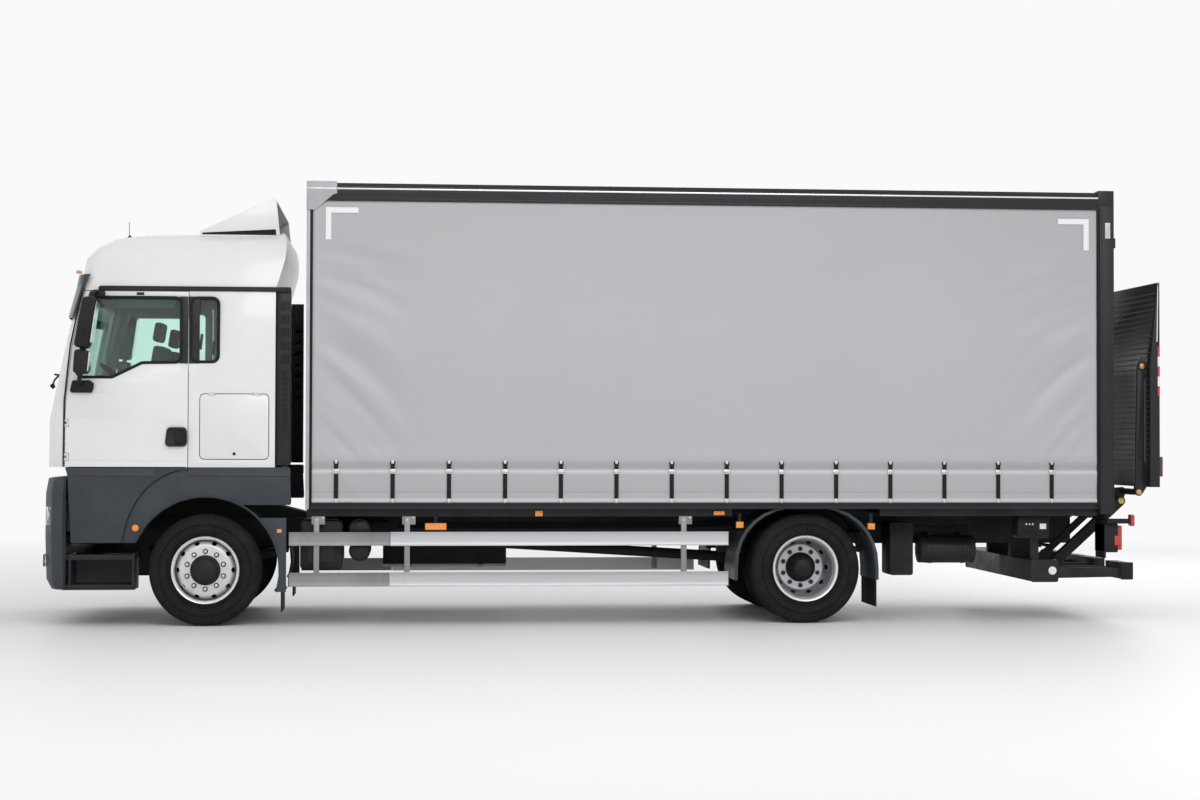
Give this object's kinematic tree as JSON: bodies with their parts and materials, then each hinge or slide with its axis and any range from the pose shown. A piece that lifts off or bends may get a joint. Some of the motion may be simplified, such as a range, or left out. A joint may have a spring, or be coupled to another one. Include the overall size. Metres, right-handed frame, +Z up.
{
  "type": "curtainside truck with sleeper cab and folding tail lift",
  "caption": "Two-axle curtainside truck: hollow sleeper cab with opening doors, hatches and flap, steered front wheels, curtained load space and parallel-arm tail lift.",
  "frame": {"origin": "on the ground under the middle of the truck's overall length and width", "axes": "the truck faces -X with the tail lift at +X, its left (driver's) side at -Y, +Z up from the ground"},
  "size_m": [10.21, 2.98, 3.962],
  "materials": {
    "white_paint": "glossy white cab paint",
    "grey_plastic": "grained anthracite moulded plastic",
    "black_plastic": "grained black moulded plastic",
    "chassis_paint": "satin black chassis paint",
    "aluminium": "satin extruded aluminium",
    "lift_aluminium": "dark coated aluminium plate",
    "wheel_silver": "silver painted steel",
    "rubber": "black tyre rubber",
    "curtain_fabric": "silver-grey coated tarpaulin",
    "glass": "green tinted glass",
    "lamp": "clear lamp lens",
    "red_lamp": "red lamp lens",
    "seat_cloth": "dark cab trim and seat cloth"
  },
  "bodies": {
    "truck": {"ladder_frame": "chassis_paint", "driveline": "chassis_paint", "front_axle": "chassis_paint", "rear_axle": "chassis_paint", "fuel_tank": "aluminium", "battery_and_air": "black_plastic", "side_guard_left": "aluminium", "side_guard_right": "aluminium", "rear_mudguard_left": "grey_plastic", "rear_mudguard_right": "grey_plastic", "cab_shell": "white_paint", "cab_roof": "white_paint", "cab_rear": "black_plastic", "cab_interior": "seat_cloth", "windscreen": "glass", "quarter_window_left": "glass", "quarter_window_right": "glass", "wheel_arch_left": "grey_plastic", "wheel_arch_right": "grey_plastic", "sun_visor": "black_plastic", "roof_deflector": "white_paint", "front_bumper": "grey_plastic", "headlamp_left": "lamp", "headlamp_right": "lamp", "body_floor": "chassis_paint", "front_bulkhead": "aluminium", "body_roof": "chassis_paint", "rear_frame": "chassis_paint", "rear_door_left": "chassis_paint", "rear_door_right": "chassis_paint", "curtain_left": "curtain_fabric", "curtain_right": "curtain_fabric", "tail_lamp_left": "red_lamp", "tail_lamp_right": "red_lamp", "lift_base": "chassis_paint"},
    "steer_left": {"knuckle_left": "chassis_paint"},
    "steer_right": {"knuckle_right": "chassis_paint"},
    "front_wheel_left": {"front_rim_left": "wheel_silver", "front_tyre_left": "rubber"},
    "front_wheel_right": {"front_rim_right": "wheel_silver", "front_tyre_right": "rubber"},
    "rear_wheels_left": {"rear_rims_left": "wheel_silver", "rear_tyre_outer_left": "rubber", "rear_tyre_inner_left": "rubber"},
    "rear_wheels_right": {"rear_rims_right": "wheel_silver", "rear_tyre_outer_right": "rubber", "rear_tyre_inner_right": "rubber"},
    "cab_door_left": {"door_left": "white_paint", "door_glass_left": "glass", "mirror_left": "black_plastic"},
    "cab_door_right": {"door_right": "white_paint", "door_glass_right": "glass", "mirror_right": "black_plastic"},
    "hatch_left": {"locker_hatch_left": "white_paint"},
    "hatch_right": {"locker_hatch_right": "white_paint"},
    "flap": {"front_flap": "white_paint"},
    "arms": {"lift_arms": "chassis_paint"},
    "links": {"tilt_links": "chassis_paint"},
    "head": {"lift_head": "chassis_paint"},
    "loading_platform": {"platform": "lift_aluminium"}
  },
  "joints": [
    {"name": "steering_left", "type": "hinge", "parent": "truck", "child": "steer_left", "pos_m": [-3.615, -0.9, 0.49483], "axis": [0, 0, 1], "range_deg": [-40, 40]},
    {"name": "front_wheel_spin_left", "type": "hinge", "parent": "steer_left", "child": "front_wheel_left", "pos_m": [-3.615, -1.035, 0.49483], "axis": [0, 1, 0], "continuous": true},
    {"name": "rear_wheels_spin_left", "type": "hinge", "parent": "truck", "child": "rear_wheels_left", "pos_m": [1.785, -0.8675, 0.49483], "axis": [0, 1, 0], "continuous": true},
    {"name": "door_hinge_left", "type": "hinge", "parent": "truck", "child": "cab_door_left", "pos_m": [-4.815, -1.198, 1.8], "axis": [0, 0, -1], "range_deg": [0, 80]},
    {"name": "hatch_hinge_left", "type": "hinge", "parent": "truck", "child": "hatch_left", "pos_m": [-3.363, -1.2, 2.059], "axis": [-1, 0, 0], "range_deg": [0, 90]},
    {"name": "steering_right", "type": "hinge", "parent": "truck", "child": "steer_right", "pos_m": [-3.615, 0.9, 0.49483], "axis": [0, 0, 1], "range_deg": [-40, 40]},
    {"name": "front_wheel_spin_right", "type": "hinge", "parent": "steer_right", "child": "front_wheel_right", "pos_m": [-3.615, 1.035, 0.49483], "axis": [0, 1, 0], "continuous": true},
    {"name": "rear_wheels_spin_right", "type": "hinge", "parent": "truck", "child": "rear_wheels_right", "pos_m": [1.785, 0.8675, 0.49483], "axis": [0, 1, 0], "continuous": true},
    {"name": "door_hinge_right", "type": "hinge", "parent": "truck", "child": "cab_door_right", "pos_m": [-4.815, 1.198, 1.8], "axis": [0, 0, 1], "range_deg": [0, 80]},
    {"name": "hatch_hinge_right", "type": "hinge", "parent": "truck", "child": "hatch_right", "pos_m": [-3.363, 1.2, 2.059], "axis": [1, 0, 0], "range_deg": [0, 90]},
    {"name": "flap_hinge", "type": "hinge", "parent": "truck", "child": "flap", "pos_m": [-5.0114, 0, 2.11], "axis": [0, 1, 0], "range_deg": [0, 75]},
    {"name": "lift_arms_hinge", "type": "hinge", "parent": "truck", "child": "arms", "pos_m": [4.245, 0, 0.52], "axis": [0, 1, 0], "range_deg": [0, 70.8]},
    {"name": "tilt_links_hinge", "type": "hinge", "parent": "truck", "child": "links", "pos_m": [4.2, 0, 0.595], "axis": [0, 1, 0], "range_deg": [0, 70.8]},
    {"name": "lift_head_hinge", "type": "hinge", "parent": "arms", "child": "head", "pos_m": [4.885, 0, 1.1], "axis": [0, 1, 0], "range_deg": [-70.8, 0]},
    {"name": "platform_hinge", "type": "hinge", "parent": "head", "child": "loading_platform", "pos_m": [4.935, 0, 1.19], "axis": [0, 1, 0], "range_deg": [0, 90]}
  ],
  "couplings": [
    {"joint": "steering_right", "follows": "steering_left", "ratio": 1},
    {"joint": "tilt_links_hinge", "follows": "lift_arms_hinge", "ratio": 1},
    {"joint": "lift_head_hinge", "follows": "lift_arms_hinge", "ratio": -1}
  ]
}
